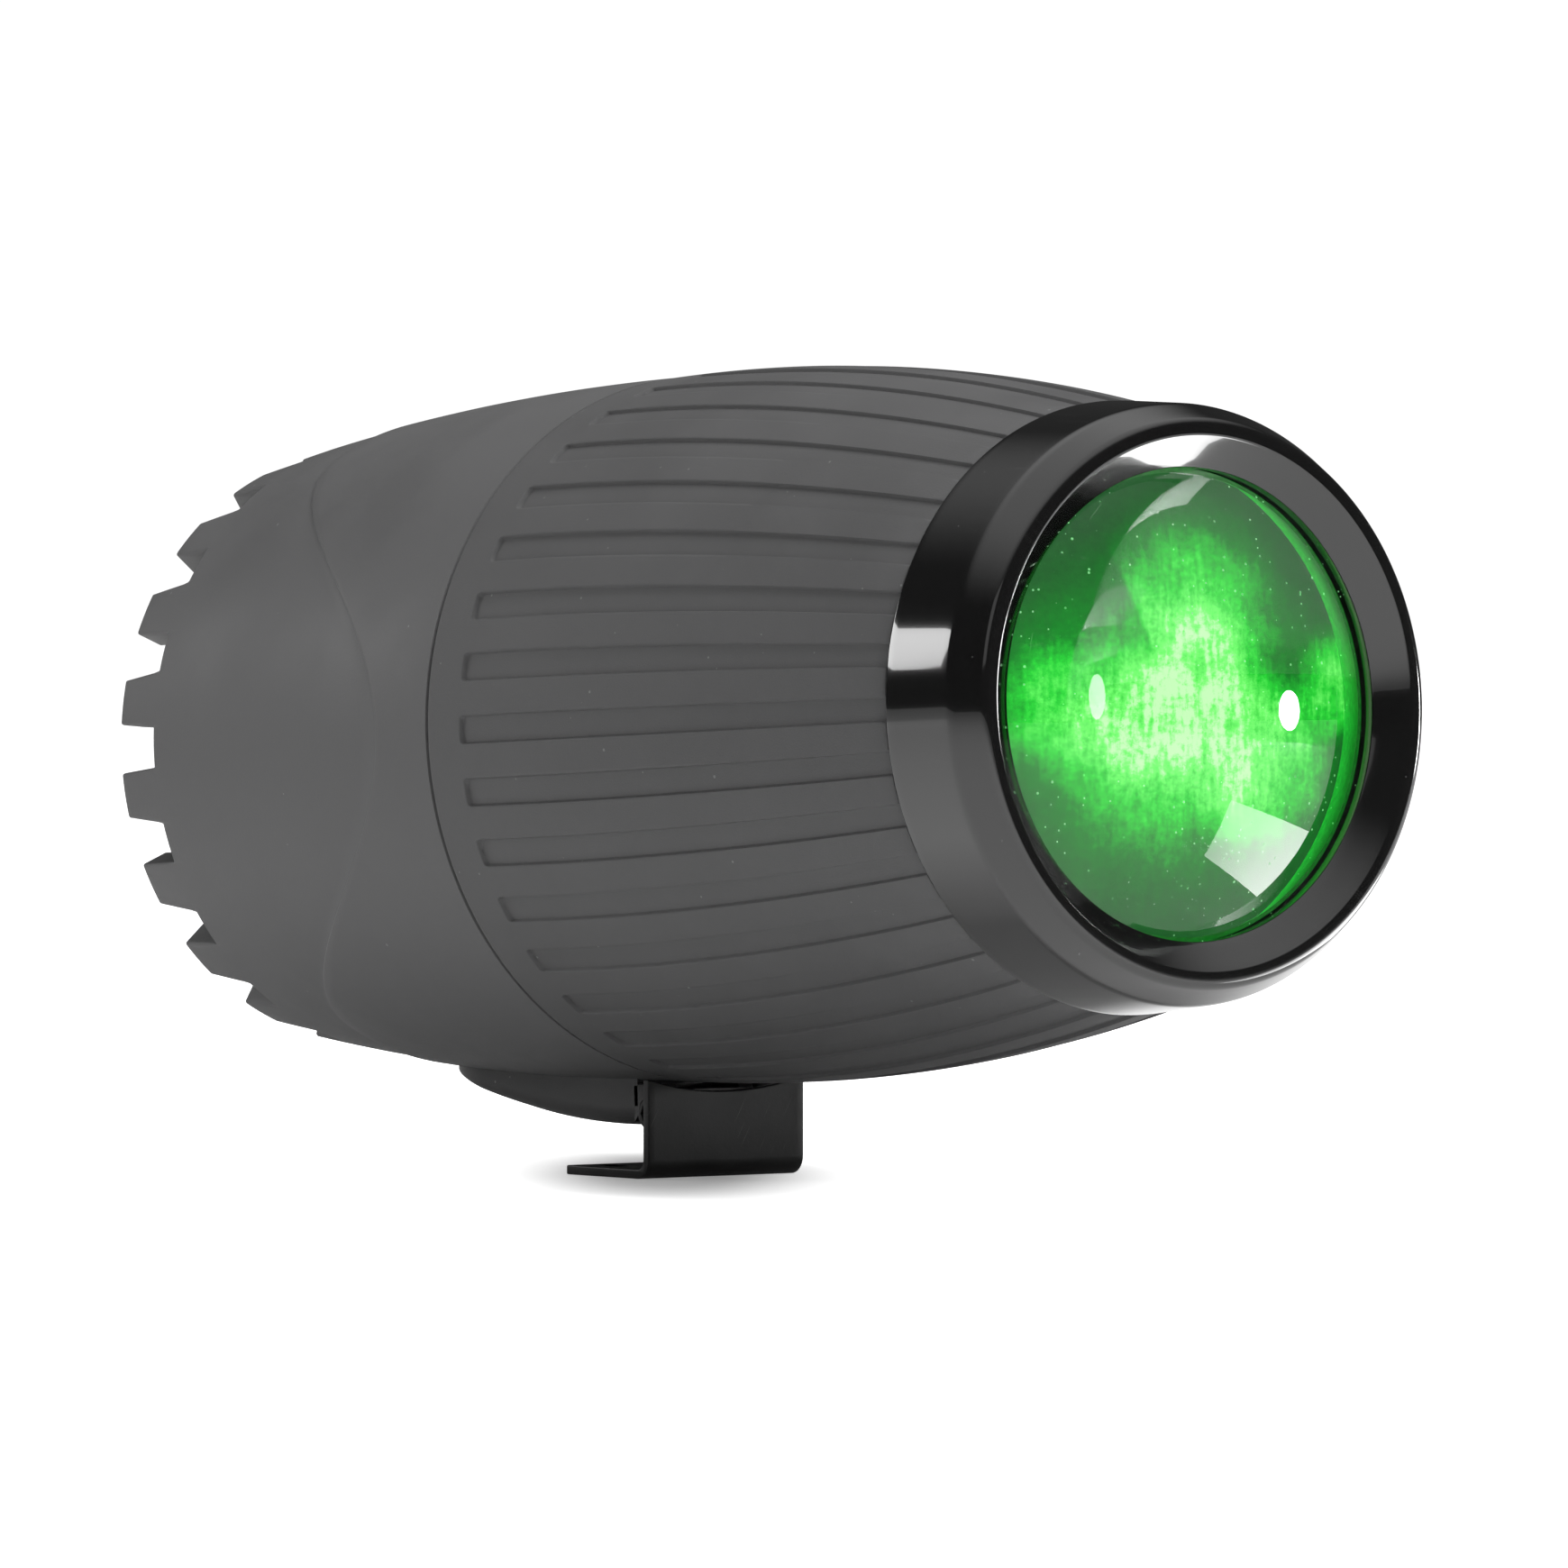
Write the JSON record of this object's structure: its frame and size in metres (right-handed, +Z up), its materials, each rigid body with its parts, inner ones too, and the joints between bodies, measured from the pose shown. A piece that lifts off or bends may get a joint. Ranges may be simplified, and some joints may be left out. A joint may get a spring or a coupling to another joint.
{
  "type": "underwater pond light",
  "caption": "Barrel-shaped underwater spot lamp with a convex glass lens, castellated rear rim and a tilting bent-steel foot.",
  "frame": {"origin": "midway between the two foot holes, on the underside of the foot", "axes": "+Z up; the lens faces -Y and looks up by the rest tilt; X runs across the lamp, with the tilt knob on +X"},
  "size_m": [0.1502, 0.3003, 0.1711],
  "materials": {
    "front_shell_plastic": "fine spark-eroded grain",
    "rear_shell_plastic": "smooth matte",
    "bezel_gloss": "piano black",
    "lens_glass": "polished",
    "black_steel": "satin powder coat",
    "arm_plastic": "fine grain",
    "knob_plastic": "satin",
    "seal_rubber": "matte",
    "screw_steel": "turned",
    "bolt_black": "black oxide",
    "spacer_black": "satin",
    "diffuser_sheet": "etched, lit green",
    "reflector_metal": "metallised, mirror-like",
    "emitter": "lit green",
    "board_white": "solder resist",
    "board_green": "solder resist",
    "pad_grey": "soft pad",
    "sink_aluminium": "as extruded",
    "parts_black": "moulded cases",
    "wire_red": "insulation",
    "cover_plastic": "smooth matte",
    "gland_plastic": "satin nylon",
    "washer_nylon": "natural nylon"
  },
  "bodies": {
    "foot": {"foot_bracket": "black_steel", "hinge_lug": "black_steel"},
    "head": {"front_shell": "front_shell_plastic", "rear_shell": "rear_shell_plastic", "rear_rim": "rear_shell_plastic", "shell_seal": "seal_rubber", "shell_screws": "screw_steel", "lens": "lens_glass", "lens_gasket": "seal_rubber", "spacer_tube": "spacer_black", "diffuser": "diffuser_sheet", "reflector": "reflector_metal", "led_emitters": "emitter", "led_board": "board_white", "thermal_pad": "pad_grey", "led_board_screws": "screw_steel", "led_wires": "wire_red", "heat_sink": "sink_aluminium", "heat_sink_screws": "screw_steel", "driver_board": "board_green", "driver_parts": "parts_black", "driver_screws": "screw_steel", "rear_cover": "cover_plastic", "rear_cover_gasket": "seal_rubber", "rear_cover_screws": "screw_steel", "gland_body": "gland_plastic", "gland_locknut": "gland_plastic", "gland_seal": "seal_rubber", "gland_nut": "gland_plastic", "tilt_arm": "arm_plastic", "tilt_arm_screws": "screw_steel", "pivot_bolt": "bolt_black", "friction_washers": "washer_nylon", "knob_washer": "screw_steel"},
    "bezel": {"bezel_ring": "bezel_gloss"},
    "knob": {"tilt_knob": "knob_plastic"}
  },
  "joints": [
    {"name": "head_tilt", "type": "hinge", "parent": "foot", "child": "head", "pos_m": [0, -0.01, 0.0135], "axis": [-1, 0, 0], "range_deg": [-10, 10]},
    {"name": "bezel_twist", "type": "hinge", "parent": "head", "child": "bezel", "pos_m": [0, -0.16412, 0.10078], "axis": [0, -0.9992, 0.0401], "range_deg": [0, 24]},
    {"name": "knob_turn", "type": "hinge", "parent": "head", "child": "knob", "pos_m": [0.0163, -0.01, 0.0135], "axis": [1, 0, 0], "continuous": true}
  ]
}
